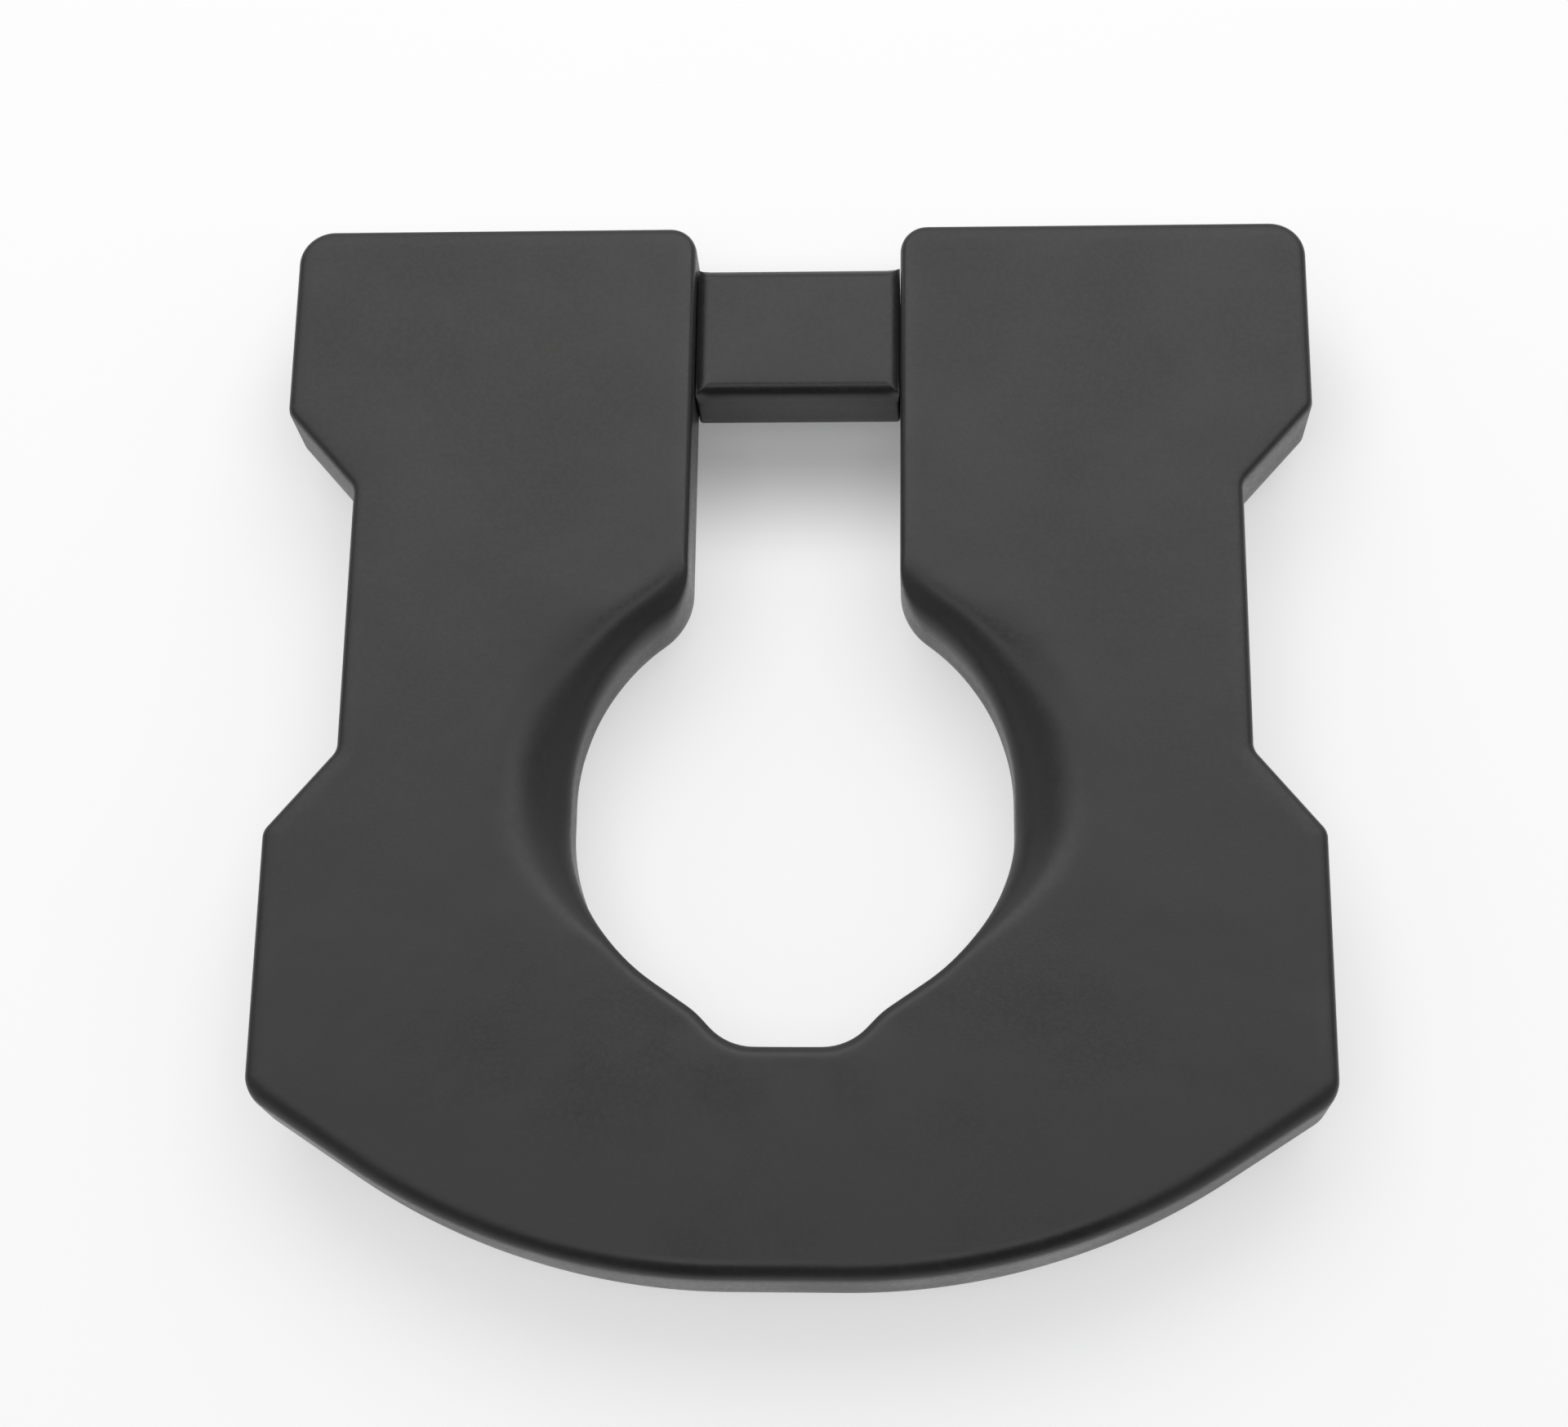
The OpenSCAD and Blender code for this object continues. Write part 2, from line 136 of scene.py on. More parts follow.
class Outline:
    """A closed outline of filleted corners that can be drawn at any inset, always with the same points."""

    def __init__(self, corners, pitch):
        self.c = corners
        n = len(corners)
        self.kinds = [edge_kind(corners[i], corners[(i + 1) % n]) for i in range(n)]
        arcs = self.arcs([0, 0, 0])
        self.spare = []  # points added along each straight edge
        for i in range(n):
            length = np.linalg.norm(arcs[(i + 1) % n][0][:2] - arcs[i][-1][:2])
            self.spare.append(max(0, int(length / pitch)))
        self.count = sum(len(a) for a in arcs) + sum(self.spare)

    def arcs(self, inset):
        """One list of points for each corner; inset gives the distance inwards for each kind of edge."""
        out, n = [], len(self.c)
        for i in range(n):
            before, here, after = self.c[i - 1], self.c[i], self.c[(i + 1) % n]
            u = np.array(here[:2], float) - np.array(before[:2], float)
            v = np.array(after[:2], float) - np.array(here[:2], float)
            u, v = u / np.linalg.norm(u), v / np.linalg.norm(v)
            k0, k1 = self.kinds[i - 1], self.kinds[i]
            d0, d1 = inset[k0], inset[k1]
            s = math.atan2(cross(u, v), float(u @ v))
            r = max(here[2] + (-1 if s < 0 else 1) * (d0 + d1) / 2, 0.5)
            a, b = np.array(here[:2]) + turned(u) * d0, np.array(here[:2]) + turned(v) * d1
            q = a + u * (cross(b - a, v) / cross(u, v))
            side = 1 if s < 0 else -1
            o = q - u * (r * math.tan(abs(s) / 2)) + turned(u) * r * side
            w = -turned(u) * side * r
            arc = []
            for k in range(here[4] + 1):
                t = s * k / here[4]
                f = k / here[4]
                f = f * f * (3 - 2 * f)
                x = o[0] + w[0] * math.cos(t) - w[1] * math.sin(t)
                y = o[1] + w[0] * math.sin(t) + w[1] * math.cos(t)
                share = [0.0, 0.0, 0.0]
                share[k0] += 1 - f
                share[k1] += f
                arc.append(np.array([x, y, *share]))
            out.append(arc)
        return out

    def ring(self, inset):
        """Points [x, y, share of each kind of edge]."""
        arcs, out = self.arcs(inset), []
        for i, arc in enumerate(arcs):
            out += arc
            a, b = arc[-1], arcs[(i + 1) % len(arcs)][0]
            for k in range(self.spare[i]):
                f = (k + 1) / (self.spare[i] + 1)
                p = a + (b - a) * f
                p[2:] = a[2:]
                out.append(p)
        return np.array(out)


def smooth(t):
    """Eased step from 0 to 1."""
    t = np.clip(t, 0, 1)
    return t * t * (3 - 2 * t)


def distance(points, line):
    """Distance from each point to a polyline."""
    best = np.full(len(points), 1e9)
    for a, b in zip(line[:-1], line[1:]):
        d = b - a
        t = np.clip(((points - a) @ d) / max(float(d @ d), 1e-12), 0, 1)
        best = np.minimum(best, np.linalg.norm(points - (a + t[:, None] * d), axis=1))
    return best


def cap(points, grid, gap):
    """Triangles that fill a closed loop of points, with added points on a grid inside it."""
    lo, hi = points.min(0), points.max(0)
    xs = np.arange(lo[0] + grid / 2, hi[0], grid)
    ys = np.arange(lo[1] + grid / 2, hi[1], grid * math.sqrt(0.75))
    field = np.array([(x + (grid / 2 if j % 2 else 0), y) for j, y in enumerate(ys) for x in xs])
    inside = np.zeros(len(field), bool)
    loop = np.vstack([points, points[:1]])
    for a, b in zip(loop[:-1], loop[1:]):
        if a[1] != b[1]:
            crosses = (a[1] > field[:, 1]) != (b[1] > field[:, 1])
            x = a[0] + (field[:, 1] - a[1]) * (b[0] - a[0]) / (b[1] - a[1])
            inside ^= crosses & (field[:, 0] < x)
    field = field[inside]
    field = field[distance(field, loop) > gap]
    n = len(points)
    every = [Vector(p) for p in points] + [Vector(p) for p in field]
    verts, _, faces, origin, _, _ = delaunay_2d_cdt(every, [], [list(range(n))], 1, 1e-7)
    back = [o[0] for o in origin]
    return field, [[back[k] for k in f] for f in faces]


def skin(name, outline, rings, field_of, grid):
    """A closed foam body: rings from the recess in its underside, over its walls, to its top."""
    n = outline.count
    pts, tags = [], []
    for inset, height, tag in rings:
        ring = outline.ring(inset)
        pts.append(np.column_stack([ring[:, :2], height(ring)]))
        tags.append(np.full(n, tag, float))
    faces = []
    for j in range(len(pts) - 1):
        for k in range(n):
            a, b = j * n + k, j * n + (k + 1) % n
            faces.append([b, a, a + n, b + n])
    top_field, top = cap(pts[-1][:, :2], grid, grid * 0.6)
    low_field, low = cap(pts[0][:, :2], grid * 3, grid)
    base_top, base_low = (len(pts) - 1) * n, len(pts) * n + len(top_field)
    co = np.vstack(
        pts
        + [np.column_stack([top_field, np.full(len(top_field), pts[-1][:, 2].mean())])]
        + [np.column_stack([low_field, np.full(len(low_field), pts[0][:, 2].mean())])]
    )
    tag = np.concatenate(tags + [np.zeros(len(top_field)), np.zeros(len(low_field))])
    for f in top:
        faces.append([base_top + k if k < n else len(pts) * n + k - n for k in f])
    for f in low:
        faces.append([k if k < n else base_low + k - n for k in reversed(f)])
    co = field_of(co)
    mesh = bpy.data.meshes.new(name)
    mesh.from_pydata((co * MM).tolist(), [], faces)
    mesh.update()
    rub = mesh.attributes.new("rub", "FLOAT", "POINT")
    rub.data.foreach_set("value", tag.astype(np.float32))
    mesh.shade_smooth()
    mesh.set_sharp_from_angle(angle=math.radians(50))
    if mesh.validate():
        raise RuntimeError(name + " has bad faces")
    piece = bpy.data.objects.new(name, mesh)
    bpy.context.scene.collection.objects.link(piece)
    return piece


def level(z):
    """Height rule for a ring at one height."""
    return lambda ring: np.full(len(ring), z)


# ---------------------------------------------------------------- seat foam

lo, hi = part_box("seat_pad")
board_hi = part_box("seat_board")[1]
under, top, roof = lo.z / MM, hi.z / MM, board_hi.z / MM  # roof of the recess that holds the board
PITCH = 6.0  # spacing of points along the edges and over the top
outline = Outline(SEAT, PITCH)

LOWER_ROLL = 2.5  # height of the small roll along the lower edge
DISH_LEAST = 0.14  # size of the dish along the front of the opening, as a share of its full size
# how far in each ring of points on the upper edge lies, as a share of that edge's width
STEPS = [0, 0.005, 0.012, 0.022, 0.036, 0.054, 0.077, 0.105, 0.155, 0.21]
STEPS += [0.27, 0.34, 0.41, 0.48, 0.55, 0.63, 0.71, 0.80, 0.90, 1.0]


def profile(tilts):
    """Depth below the flat top against distance, from pairs of distance and tilt in degrees."""
    d = np.linspace(0, tilts[-1][0], 600)
    slope = np.tan(np.radians(np.minimum(np.interp(d, *np.array(tilts, float).T), 83)))
    climb = np.concatenate([[0], np.cumsum((slope[1:] + slope[:-1]) / 2)]) * (d[1] - d[0])
    return d, climb[-1] - climb


SIDE_ROLL = profile([(0, 90), (0.5, 66), (1.1, 45), (1.8, 27), (2.6, 13), (4, 7), (7, 3.5), (10, 0)])
FRONT_ROLL = profile([(0, 90), (0.4, 70), (0.9, 57), (1.5, 50), (2.8, 41), (4, 31), (5.2, 20), (6.8, 9), (9, 0)])
# the dish is wide and soft beside the opening, narrower and steeper behind it
SIDE_DISH = profile(
    [(0, 90), (0.4, 68), (1, 58), (2.5, 52), (5, 47), (9, 41)]
    + [(13, 34), (17, 27), (21, 20), (25, 15), (28, 9), (31, 3), (34, 0)]
)
REAR_DISH = profile(
    [(0, 90), (0.5, 78), (1.5, 66), (3, 59), (4.5, 53), (6, 47)]
    + [(8, 39), (10, 28), (12, 17), (14, 9), (16, 4), (19, 0)]
)
REACH = (SIDE_ROLL[0][-1], SIDE_DISH[0][-1], FRONT_ROLL[0][-1])


def dish_drop(ring, d):
    """How far the surface at distance d from the opening lies below the flat top."""
    around = np.degrees(np.arctan2(ring[:, 1] + 35, np.abs(ring[:, 0])))
    # the dish shrinks to a small lip along the front of the opening
    size = DISH_LEAST + (1 - DISH_LEAST) * smooth((around + 44) / 46)
    behind = smooth((around - 8) / 48)
    return size * ((1 - behind) * np.interp(d / size, *SIDE_DISH) + behind * np.interp(d / size, *REAR_DISH))


def upper(step, share=1.0):
    """Height rule for a ring on the rolled upper edge, or a share of the way up the wall below it."""

    def height(ring):
        side, dish, front = (step * reach for reach in REACH)
        drop = ring[:, 2] * np.interp(side, *SIDE_ROLL) + ring[:, 4] * np.interp(front, *FRONT_ROLL)
        drop = drop + ring[:, 3] * dish_drop(ring, dish)
        return under + LOWER_ROLL + (top - drop - under - LOWER_ROLL) * share

    return height


# each ring: its inset for each kind of edge, its height and how rubbed it is; recess, underside, small lower roll
RECESS = 13.95
rings = [
    ([RECESS] * 3, level(roof + 0.05), 0),
    ([RECESS] * 3, level(under + 1.2), 0),
    ([RECESS - 0.35] * 3, level(under + 0.35), 0),
    ([RECESS - 1.2] * 3, level(under), 0),
    ([8.0] * 3, level(under), 0),
    ([2.6] * 3, level(under), 0),
    ([1.3] * 3, level(under + 0.3), 0.4),
    ([0.4] * 3, level(under + 1.1), 0.8),
    ([0.0] * 3, level(under + LOWER_ROLL), 0.3),
]
for f in (0.2, 0.4, 0.6, 0.8):
    rings.append(([0.0] * 3, upper(0, f), 0))
for i, step in enumerate(STEPS):
    rings.append(([step * reach for reach in REACH], upper(step), math.sin(math.pi * i / (len(STEPS) - 1))))

edge = outline.ring([0, 0, 0])
beside_hole = edge[edge[:, 3] > 0.5][:, :2]
hole_line = np.vstack([beside_hole[beside_hole[:, 0] < 0], beside_hole[beside_hole[:, 0] >= 0]])
order = np.argsort(np.arctan2(hole_line[:, 0], -(hole_line[:, 1] + 40)))
hole_line = hole_line[order]
edge_loop = np.vstack([edge[:, :2], edge[:1, :2]])
DISH_TAIL, DISH_DROP = 60.0, 0.15
CROWN_TAIL, CROWN_DROP = 40.0, 0.3
WELT_X, WELT_Y, WELT_R, WELT_RISE = 27.0, -147.0, 26.0, 0.7


def seat_field(co):
    """Sinks slightly towards the opening and the outer edges, and swells by the corners of the front lobe."""
    share = np.clip((co[:, 2] - under) / (top - under), 0, 1) ** 2
    near_hole = distance(co[:, :2], hole_line)
    near_edge = distance(co[:, :2], edge_loop)
    sink = DISH_DROP * (1 - smooth(near_hole / DISH_TAIL)) + CROWN_DROP * (1 - smooth(near_edge / CROWN_TAIL))
    welt = np.hypot(np.abs(co[:, 0]) - WELT_X, co[:, 1] - WELT_Y)
    co[:, 2] += (WELT_RISE * (1 - smooth(welt / WELT_R)) - sink) * share
    return co


seat_foam = skin("seat_foam", outline, rings, seat_field, PITCH)
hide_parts("seat_pad")
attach(seat_foam, "seat")

# ---------------------------------------------------------------- bridge foam

lo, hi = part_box("bridge_pad")
b_lo, b_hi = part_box("bridge_board")
x0, x1, y0, y1 = lo.x / MM, hi.x / MM, lo.y / MM, hi.y / MM
BAR_CORNER, BAR_PITCH = 1.5, 4.0
bar = Outline([(x, y, BAR_CORNER, SIDE, 6) for x, y in ((x0, y1), (x1, y1), (x1, y0), (x0, y0))], BAR_PITCH)
bottom, crest, bar_roof = lo.z / MM, hi.z / MM, b_hi.z / MM
inset = b_lo.x / MM - x0 - 0.25  # of the recess that holds the bar's board
BAR_LOWER_ROLL = 1.7
bar_mid, bar_half = (lo + hi) / 2 / MM, (hi - lo) / 2 / MM
END_ROLL = profile([(0, 26), (3, 18), (6.5, 0)])
BAR_ROLL = profile([(0, 90), (0.8, 70), (2, 54), (3.4, 38), (4.8, 21), (6.5, 0)])


def bar_upper(across, share=1.0):
    """The ends are rolled over less than the front and rear edges."""

    def height(ring):
        past_end = np.abs(ring[:, 0] - bar_mid.x) - (bar_half.x - across)
        past_edge = np.abs(ring[:, 1] - bar_mid.y) - (bar_half.y - across)
        end = smooth((past_end - past_edge + 1.5) / 3.0)
        drop = end * np.interp(across, *END_ROLL) + (1 - end) * np.interp(across, *BAR_ROLL)
        return bottom + BAR_LOWER_ROLL + (crest - drop - bottom - BAR_LOWER_ROLL) * share

    return height


bar_rings = [
    ([inset] * 3, level(bar_roof + 0.05), 0),
    ([inset] * 3, level(bottom + 1.0), 0),
    ([inset - 0.3] * 3, level(bottom + 0.3), 0),
    ([inset - 1.0] * 3, level(bottom), 0),
    ([1.6] * 3, level(bottom), 0),
    ([0.7] * 3, level(bottom + 0.25), 0.5),
    ([0.2] * 3, level(bottom + 0.8), 0.8),
    ([0.0] * 3, level(bottom + BAR_LOWER_ROLL), 0.3),
]
for f in (0.25, 0.5, 0.75):
    bar_rings.append(([0.0] * 3, bar_upper(0, f), 0))
for i, step in enumerate(STEPS):
    across = step * BAR_ROLL[0][-1]
    bar_rings.append(([across] * 3, bar_upper(across), math.sin(math.pi * i / (len(STEPS) - 1))))
bar_loop = bar.ring([0, 0, 0])[:, :2]
bar_loop = np.vstack([bar_loop, bar_loop[:1]])


BAR_CROWN, BAR_CROWN_TAIL = 0.35, 22.0


def bar_field(co):
    """A very slight crown over the bar's top."""
    share = np.clip((co[:, 2] - bottom) / (crest - bottom), 0, 1) ** 2
    co[:, 2] -= BAR_CROWN * (1 - smooth(distance(co[:, :2], bar_loop) / BAR_CROWN_TAIL)) * share
    return co


bridge_foam = skin("bridge_foam", bar, bar_rings, bar_field, BAR_PITCH)
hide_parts("bridge_pad")
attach(bridge_foam, "bridge")

# ---------------------------------------------------------------- materials


class Finish:
    """Builds one procedural material from small steps in object space, in real sizes."""

    def __init__(self, name, metallic=0.0, specular=0.5):
        self.m = bpy.data.materials.new(name)
        self.m.use_nodes = True
        self.t = self.m.node_tree
        self.b = self.t.nodes["Principled BSDF"]
        self.b.inputs["Metallic"].default_value = metallic
        self.b.inputs["Specular IOR Level"].default_value = specular
        self.place = self.t.nodes.new("ShaderNodeTexCoord").outputs["Object"]
        self.normal = None

    def node(self, kind, **values):
        n = self.t.nodes.new("ShaderNode" + kind)
        for k, v in values.items():
            setattr(n, k, v)
        return n

    def link(self, a, b):
        self.t.links.new(a, b)

    def noise(self, size_mm, detail=3.0, rough=0.55, stretch=(1, 1, 1), seed=0.0):
        """Noise whose blobs are about size_mm across, stretched along an axis."""
        place = self.node("Mapping")
        place.inputs["Scale"].default_value = [1000.0 / size_mm / s for s in stretch]
        place.inputs["Location"].default_value = (seed, seed * 1.7, seed * 0.6)
        self.link(self.place, place.inputs["Vector"])
        n = self.node("TexNoise")
        n.inputs["Scale"].default_value = 1.0
        n.inputs["Detail"].default_value = detail
        n.inputs["Roughness"].default_value = rough
        self.link(place.outputs["Vector"], n.inputs["Vector"])
        return n.outputs["Fac"]

    def cells(self, size_mm, seed=0.0):
        """Distance to the nearest cell middle, for pebbled grain."""
        place = self.node("Mapping")
        place.inputs["Scale"].default_value = [1000.0 / size_mm] * 3
        place.inputs["Location"].default_value = (seed, seed, seed)
        self.link(self.place, place.inputs["Vector"])
        n = self.node("TexVoronoi")
        n.inputs["Scale"].default_value = 1.0
        self.link(place.outputs["Vector"], n.inputs["Vector"])
        return n.outputs["Distance"]

    def spread(self, value, low, high, to_low, to_high):
        n = self.node("MapRange", interpolation_type="SMOOTHSTEP")
        for k, v in zip(("From Min", "From Max", "To Min", "To Max"), (low, high, to_low, to_high)):
            n.inputs[k].default_value = v
        self.link(value, n.inputs["Value"])
        return n.outputs["Result"]

    def maths(self, what, a, b):
        n = self.node("Math", operation=what)
        for socket, v in zip(n.inputs, (a, b)):
            if isinstance(v, (int, float)):
                socket.default_value = v
            else:
                self.link(v, socket)
        return n.outputs["Value"]

    def blend(self, fac, a, b):
        n = self.node("Mix", data_type="RGBA")
        self.link(fac, n.inputs["Factor"])
        for key, v in ((6, a), (7, b)):
            if isinstance(v, tuple):
                n.inputs[key].default_value = (*v, 1)
            else:
                self.link(v, n.inputs[key])
        return n.outputs[2]

    def bump(self, value, height_mm, strength=1.0):
        n = self.node("Bump")
        n.inputs["Strength"].default_value = strength
        n.inputs["Distance"].default_value = height_mm * MM
        self.link(value, n.inputs["Height"])
        if self.normal is not None:
            self.link(self.normal, n.inputs["Normal"])
        self.normal = n.outputs["Normal"]

    def attribute(self, name):
        return self.node("Attribute", attribute_name=name).outputs["Fac"]

    def worn(self, radius_mm, low=0.002, high=0.05):
        """1 along sharp edges, 0 elsewhere."""
        rounded = self.node("Bevel", samples=4)
        rounded.inputs["Radius"].default_value = radius_mm * MM
        plain = self.node("NewGeometry").outputs["Normal"]
        dot = self.node("VectorMath", operation="DOT_PRODUCT")
        self.link(rounded.outputs["Normal"], dot.inputs[0])
        self.link(plain, dot.inputs[1])
        return self.spread(self.maths("SUBTRACT", 1.0, dot.outputs["Value"]), low, high, 0.0, 1.0)

    def done(self, color, rough):
        self.link(color, self.b.inputs["Base Color"])
        self.link(rough, self.b.inputs["Roughness"])
        if self.normal is not None:
            self.link(self.normal, self.b.inputs["Normal"])
        return self.m


def foam_skin():
    """Self-skinned foam: matte black-grey hide with a very fine moulded grain."""
    f = Finish("foam_skin")
    cloud = f.noise(70, 4, 0.55, seed=3.1)
    speck = f.noise(2.2, 2, 0.5, seed=7.7)
    rub = f.attribute("rub")
    base = f.blend(f.spread(cloud, 0.3, 0.7, 0, 1), (0.0145, 0.0141, 0.0139), (0.0185, 0.0180, 0.0176))
    base = f.blend(f.maths("MULTIPLY", f.spread(speck, 0.45, 0.75, 0, 1), 0.35), base, (0.026, 0.0253, 0.0248))
    base = f.blend(f.maths("MULTIPLY", rub, 0.15), base, (0.038, 0.037, 0.037))
    rough = f.maths("ADD", f.spread(cloud, 0.3, 0.7, 0.35, 0.45), f.spread(speck, 0.35, 0.7, -0.03, 0.04))
    rough = f.maths("SUBTRACT", rough, f.maths("MULTIPLY", rub, 0.03))
    f.bump(f.noise(45, 2, 0.4, seed=1.3), 0.8, 1.0)
    f.bump(f.cells(0.9, seed=2.0), 0.03, 0.5)
    f.bump(f.noise(0.45, 2, 0.6, seed=5.5), 0.015, 0.6)
    return f.done(base, rough)


def board():
    """Black moulded board with a fine orange-peel texture."""
    f = Finish("board", specular=0.45)
    cloud = f.noise(55, 4, 0.6, seed=4.0)
    scuff = f.spread(f.noise(14, 6, 0.7, (5, 1, 1), seed=8.0), 0.6, 0.72, 0, 1)
    base = f.blend(f.spread(cloud, 0.3, 0.7, 0, 1), (0.018, 0.018, 0.019), (0.027, 0.027, 0.028))
    base = f.blend(f.maths("MULTIPLY", scuff, 0.4), base, (0.06, 0.06, 0.062))
    rough = f.maths("ADD", f.spread(cloud, 0.3, 0.7, 0.5, 0.6), f.maths("MULTIPLY", scuff, -0.1))
    f.bump(f.cells(1.6, seed=1.0), 0.08, 0.7)
    f.bump(f.noise(0.6, 3, 0.6, seed=2.0), 0.03, 0.5)
    return f.done(base, rough)


def plastic(name, dark, light, rough, grain_mm, stretch=(1, 1, 1), edge=0.3):
    """Moulded plastic with a fine grain, faint flow marks and rubbed edges."""
    f = Finish(name)
    cloud = f.noise(18, 4, 0.6, stretch, seed=2.2)
    mark = f.spread(f.noise(3.0, 5, 0.7, stretch, seed=6.1), 0.62, 0.72, 0, 1)
    base = f.blend(f.spread(cloud, 0.3, 0.7, 0, 1), dark, light)
    rubbed = f.maths("MULTIPLY", f.worn(0.6), edge)
    base = f.blend(rubbed, base, tuple(min(1.0, c * 3.2) for c in light))
    r = f.maths("ADD", f.spread(cloud, 0.3, 0.7, rough - 0.05, rough + 0.05), f.maths("MULTIPLY", mark, -0.08))
    f.bump(f.cells(grain_mm, seed=3.0), 0.04, 0.6)
    f.bump(f.noise(grain_mm * 0.4, 3, 0.6, seed=9.0), 0.015, 0.6)
    return f.done(base, r)


def metal(name, dark, light, rough, grain_mm, stretch, tarnish=None):
    """Drawn or turned metal: fine directional grain, slightly duller patches and bright edges."""
    f = Finish(name, metallic=1.0)
    line = f.noise(grain_mm, 3, 0.6, stretch, seed=1.9)
    patch = f.noise(7, 4, 0.6, seed=5.2)
    base = f.blend(f.spread(line, 0.3, 0.7, 0, 1), dark, light)
    if tarnish:
        base = f.blend(f.spread(patch, 0.45, 0.75, 0, 0.6), base, tarnish)
    base = f.blend(f.maths("MULTIPLY", f.worn(0.3), 0.5), base, tuple(min(1.0, c * 1.25) for c in light))
    r = f.maths("ADD", f.spread(line, 0.3, 0.7, rough - 0.06, rough + 0.06), f.spread(patch, 0.3, 0.7, -0.04, 0.07))
    f.bump(line, 0.02, 0.5)
    return f.done(base, r)


def rubber():
    f = Finish("stop_rubber", specular=0.4)
    dust = f.noise(5, 5, 0.65, seed=3.3)
    base = f.blend(f.spread(dust, 0.4, 0.75, 0, 1), (0.012, 0.012, 0.012), (0.035, 0.035, 0.034))
    f.bump(f.noise(0.5, 3, 0.7, seed=1.1), 0.05, 0.6)
    return f.done(base, f.spread(dust, 0.3, 0.7, 0.68, 0.82))


materials = {
    "foam_skin": foam_skin(),
    "board": board(),
    "clip_nylon": plastic("clip_nylon", (0.014, 0.0145, 0.016), (0.022, 0.0225, 0.024), 0.48, 0.7),
    "rail_plastic": plastic("rail_plastic", (0.026, 0.027, 0.029), (0.036, 0.037, 0.040), 0.40, 0.5, (1, 12, 1)),
    "knob_plastic": plastic("knob_plastic", (0.012, 0.0125, 0.014), (0.019, 0.0195, 0.021), 0.36, 0.6),
    "stop_rubber": rubber(),
    "insert_brass": metal(
        "insert_brass", (0.54, 0.39, 0.16), (0.66, 0.50, 0.22), 0.30, 0.25, (1, 1, 8), (0.36, 0.25, 0.11)
    ),
    "fastener_steel": metal("fastener_steel", (0.48, 0.49, 0.50), (0.62, 0.63, 0.64), 0.30, 0.25, (8, 8, 1)),
    "carrier_aluminium": metal("carrier_aluminium", (0.44, 0.45, 0.47), (0.58, 0.59, 0.61), 0.36, 0.22, (40, 1, 1)),
}
for part in frame["record"]["subparts"]:
    node = nodes[part["node"]]
    node.data.materials.clear()
    node.data.materials.append(materials[part["material_slot"]])
for piece in (seat_foam, bridge_foam):
    piece.data.materials.append(materials["foam_skin"])

# ---------------------------------------------------------------- floor, lights and sky


FLOOR_R = 9.0
FLOOR_COLOR = (0.56, 0.56, 0.565, 1)
FLOOR_GLOW = (0.20, 0.54)  # in the painted shadow below the bar, and in the open
PAINTED_SHADOW_Y = 0.175
PAINTED_SHADOW_R = (0.025, 0.085)  # where the glow starts and ends its rise, out from the middle of the painted shadow under the arms and the bar
PAINTED_SHADOW_SHAPE = 0.3  # its depth as a share of its width


def floor_paint():
    """Pale matte floor whose glow, a stand-in for fill light, fades to a painted contact shadow where the arms and
    the bar cover it.
    """
    m = bpy.data.materials.new("floor")
    m.use_nodes = True
    nt = m.node_tree
    b = nt.nodes["Principled BSDF"]
    b.inputs["Base Color"].default_value = FLOOR_COLOR
    b.inputs["Roughness"].default_value = 0.9
    b.inputs["Specular IOR Level"].default_value = 0.0
    b.inputs["Emission Color"].default_value = (1, 1, 1, 1)
    # painted contact shadow: the glow is dimmed in an oval under the arms and the bar
    near = nt.nodes.new("ShaderNodeMapping")
    near.inputs["Location"].default_value = (0, -PAINTED_SHADOW_Y, 0)
    near.inputs["Scale"].default_value = (PAINTED_SHADOW_SHAPE, 1, 1)
    far = nt.nodes.new("ShaderNodeVectorMath")
    far.operation = "LENGTH"
    shadow_fade = nt.nodes.new("ShaderNodeMapRange")
    shadow_fade.interpolation_type = "SMOOTHSTEP"
    for key, value in zip(("From Min", "From Max", "To Min", "To Max"), (*PAINTED_SHADOW_R, *FLOOR_GLOW)):
        shadow_fade.inputs[key].default_value = value
    nt.links.new(nt.nodes.new("ShaderNodeTexCoord").outputs["Object"], near.inputs["Vector"])
    nt.links.new(near.outputs["Vector"], far.inputs[0])
    nt.links.new(far.outputs["Value"], shadow_fade.inputs["Value"])
    nt.links.new(shadow_fade.outputs["Result"], b.inputs["Emission Strength"])
    return m


ground = bpy.data.meshes.new("floor")
turns = [k * math.pi / 48 for k in range(96)]
rim = [(FLOOR_R * math.cos(a), FLOOR_R * math.sin(a), 0) for a in turns]
ground.from_pydata(rim, [], [list(range(96))])
ground.materials.append(floor_paint())
floor = bpy.data.objects.new("floor", ground)
bpy.context.scene.collection.objects.link(floor)


def softbox(name, place, size, luminance):
    """A rectangular light panel of the given luminance that faces straight down."""
    light = bpy.data.lights.new(name, "AREA")
    light.shape = "RECTANGLE"
    light.size, light.size_y = size
    light.energy = luminance * math.pi * size[0] * size[1]
    obj = bpy.data.objects.new(name, light)
    bpy.context.scene.collection.objects.link(obj)
    obj.location = place


# overhead panels round a darker middle: name, their span in x and in y, luminance
CEILING = 2.2
for name, x0, x1, y0, y1, luminance in (
    ("panel_rear", -1.5, 1.5, 0.45, 2.4, 1.46),
    ("panel_left", -1.15, -0.60, -0.12, 0.45, 1.35),
    ("panel_right", 0.42, 1.05, -0.12, 0.45, 1.35),
    ("panel_front", -0.9, 0.8, -1.1, -0.16, 1.6),
):
    softbox(name, ((x0 + x1) / 2, (y0 + y1) / 2, CEILING), (x1 - x0, y1 - y0), luminance)

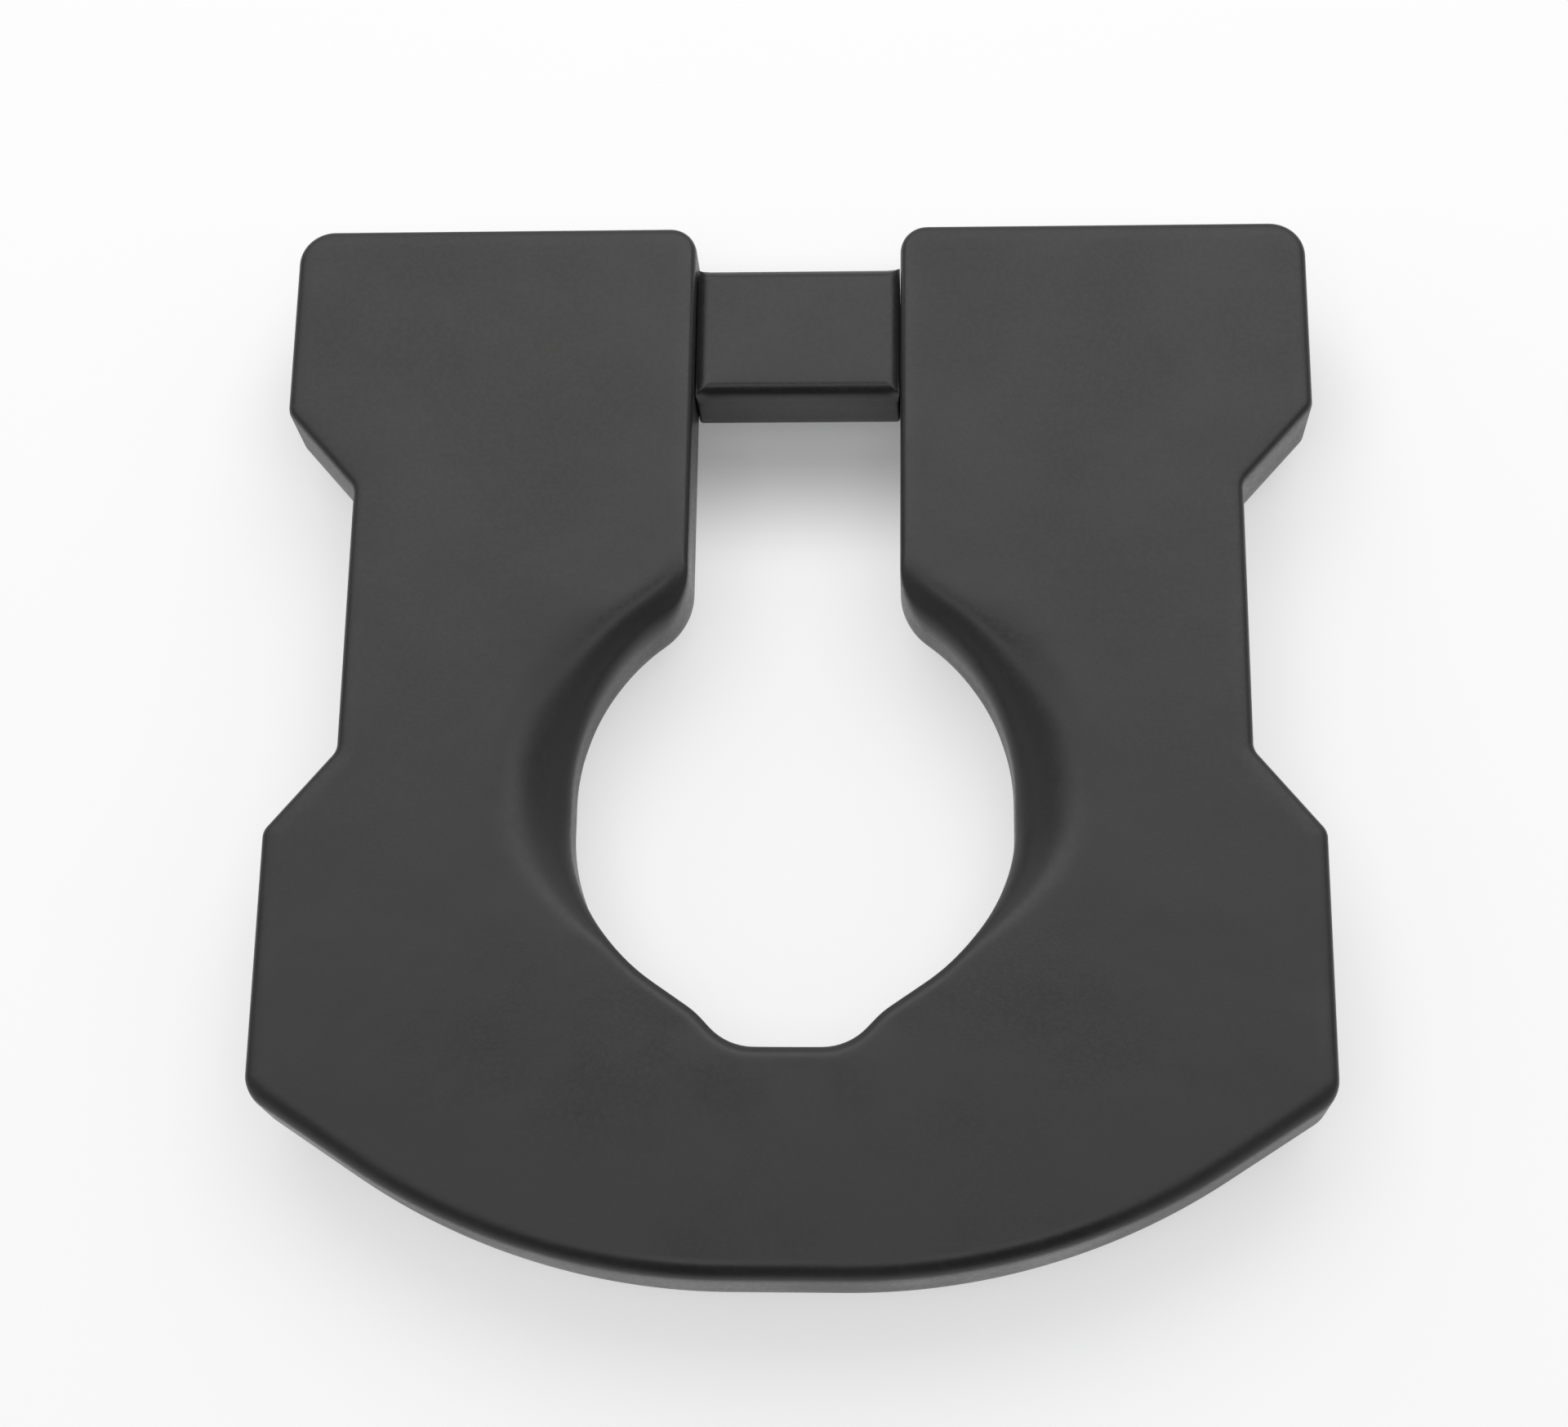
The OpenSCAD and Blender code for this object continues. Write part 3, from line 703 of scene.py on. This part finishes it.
world = bpy.data.worlds.new("sky")
bpy.context.scene.world = world
world.use_nodes = True
tree = world.node_tree
sky = tree.nodes["Background"]
where = tree.nodes.new("ShaderNodeTexCoord")
split = tree.nodes.new("ShaderNodeSeparateXYZ")
tree.links.new(where.outputs["Generated"], split.inputs[0])


def ramp(value, stops):
    node = tree.nodes.new("ShaderNodeValToRGB")
    node.color_ramp.interpolation = "EASE"
    while len(node.color_ramp.elements) < len(stops):
        node.color_ramp.elements.new(0.5)
    for element, (at, grey) in zip(node.color_ramp.elements, stops):
        element.position = at
        element.color = (grey, grey, grey, 1)
    tree.links.new(value, node.inputs["Fac"])
    return node.outputs["Color"]


# a pale horizon all round; above it a bright rear, dimmer sides, and a dark front where the photographer stands
up = split.outputs["Z"]


def maths(kind, a, b=None):
    node = tree.nodes.new("ShaderNodeMath")
    node.operation = kind
    for slot, value in zip(node.inputs, (a, b)):
        if isinstance(value, (int, float)):
            slot.default_value = value
        elif value is not None:
            tree.links.new(value, slot)
    return node.outputs[0]


flat = maths("MAXIMUM", maths("SQRT", maths("SUBTRACT", 1.0, maths("MULTIPLY", up, up))), 0.001)
back = maths("ADD", maths("MULTIPLY", maths("DIVIDE", split.outputs["Y"], flat), 0.5), 0.5)  # 0 front, 1 rear


def blended(share, a, b):
    node = tree.nodes.new("ShaderNodeMix")
    node.data_type = "RGBA"
    tree.links.new(share, node.inputs["Factor"])
    tree.links.new(a, node.inputs[6])
    tree.links.new(b, node.inputs[7])
    return node.outputs[2]


rear = ramp(up, [(0.0, 1.0), (0.30, 1.0), (0.60, 1.0), (0.90, 0.55), (0.96, 0.04)])
sides = ramp(up, [(0.0, 0.95), (0.12, 0.88), (0.30, 0.46), (0.50, 0.46), (0.90, 0.46), (0.96, 0.04)])
front = ramp(up, [(0.0, 0.84), (0.015, 0.42), (0.06, 0.06), (0.75, 0.06), (0.96, 0.04)])
half = blended(ramp(back, [(0.07, 0.0), (0.22, 1.0)]), front, sides)
tree.links.new(blended(ramp(back, [(0.78, 0.0), (0.94, 1.0)]), half, rear), sky.inputs["Color"])
SKY_STRENGTH = 0.86
sky.inputs["Strength"].default_value = SKY_STRENGTH

bpy.context.scene.view_settings.view_transform = "Standard"
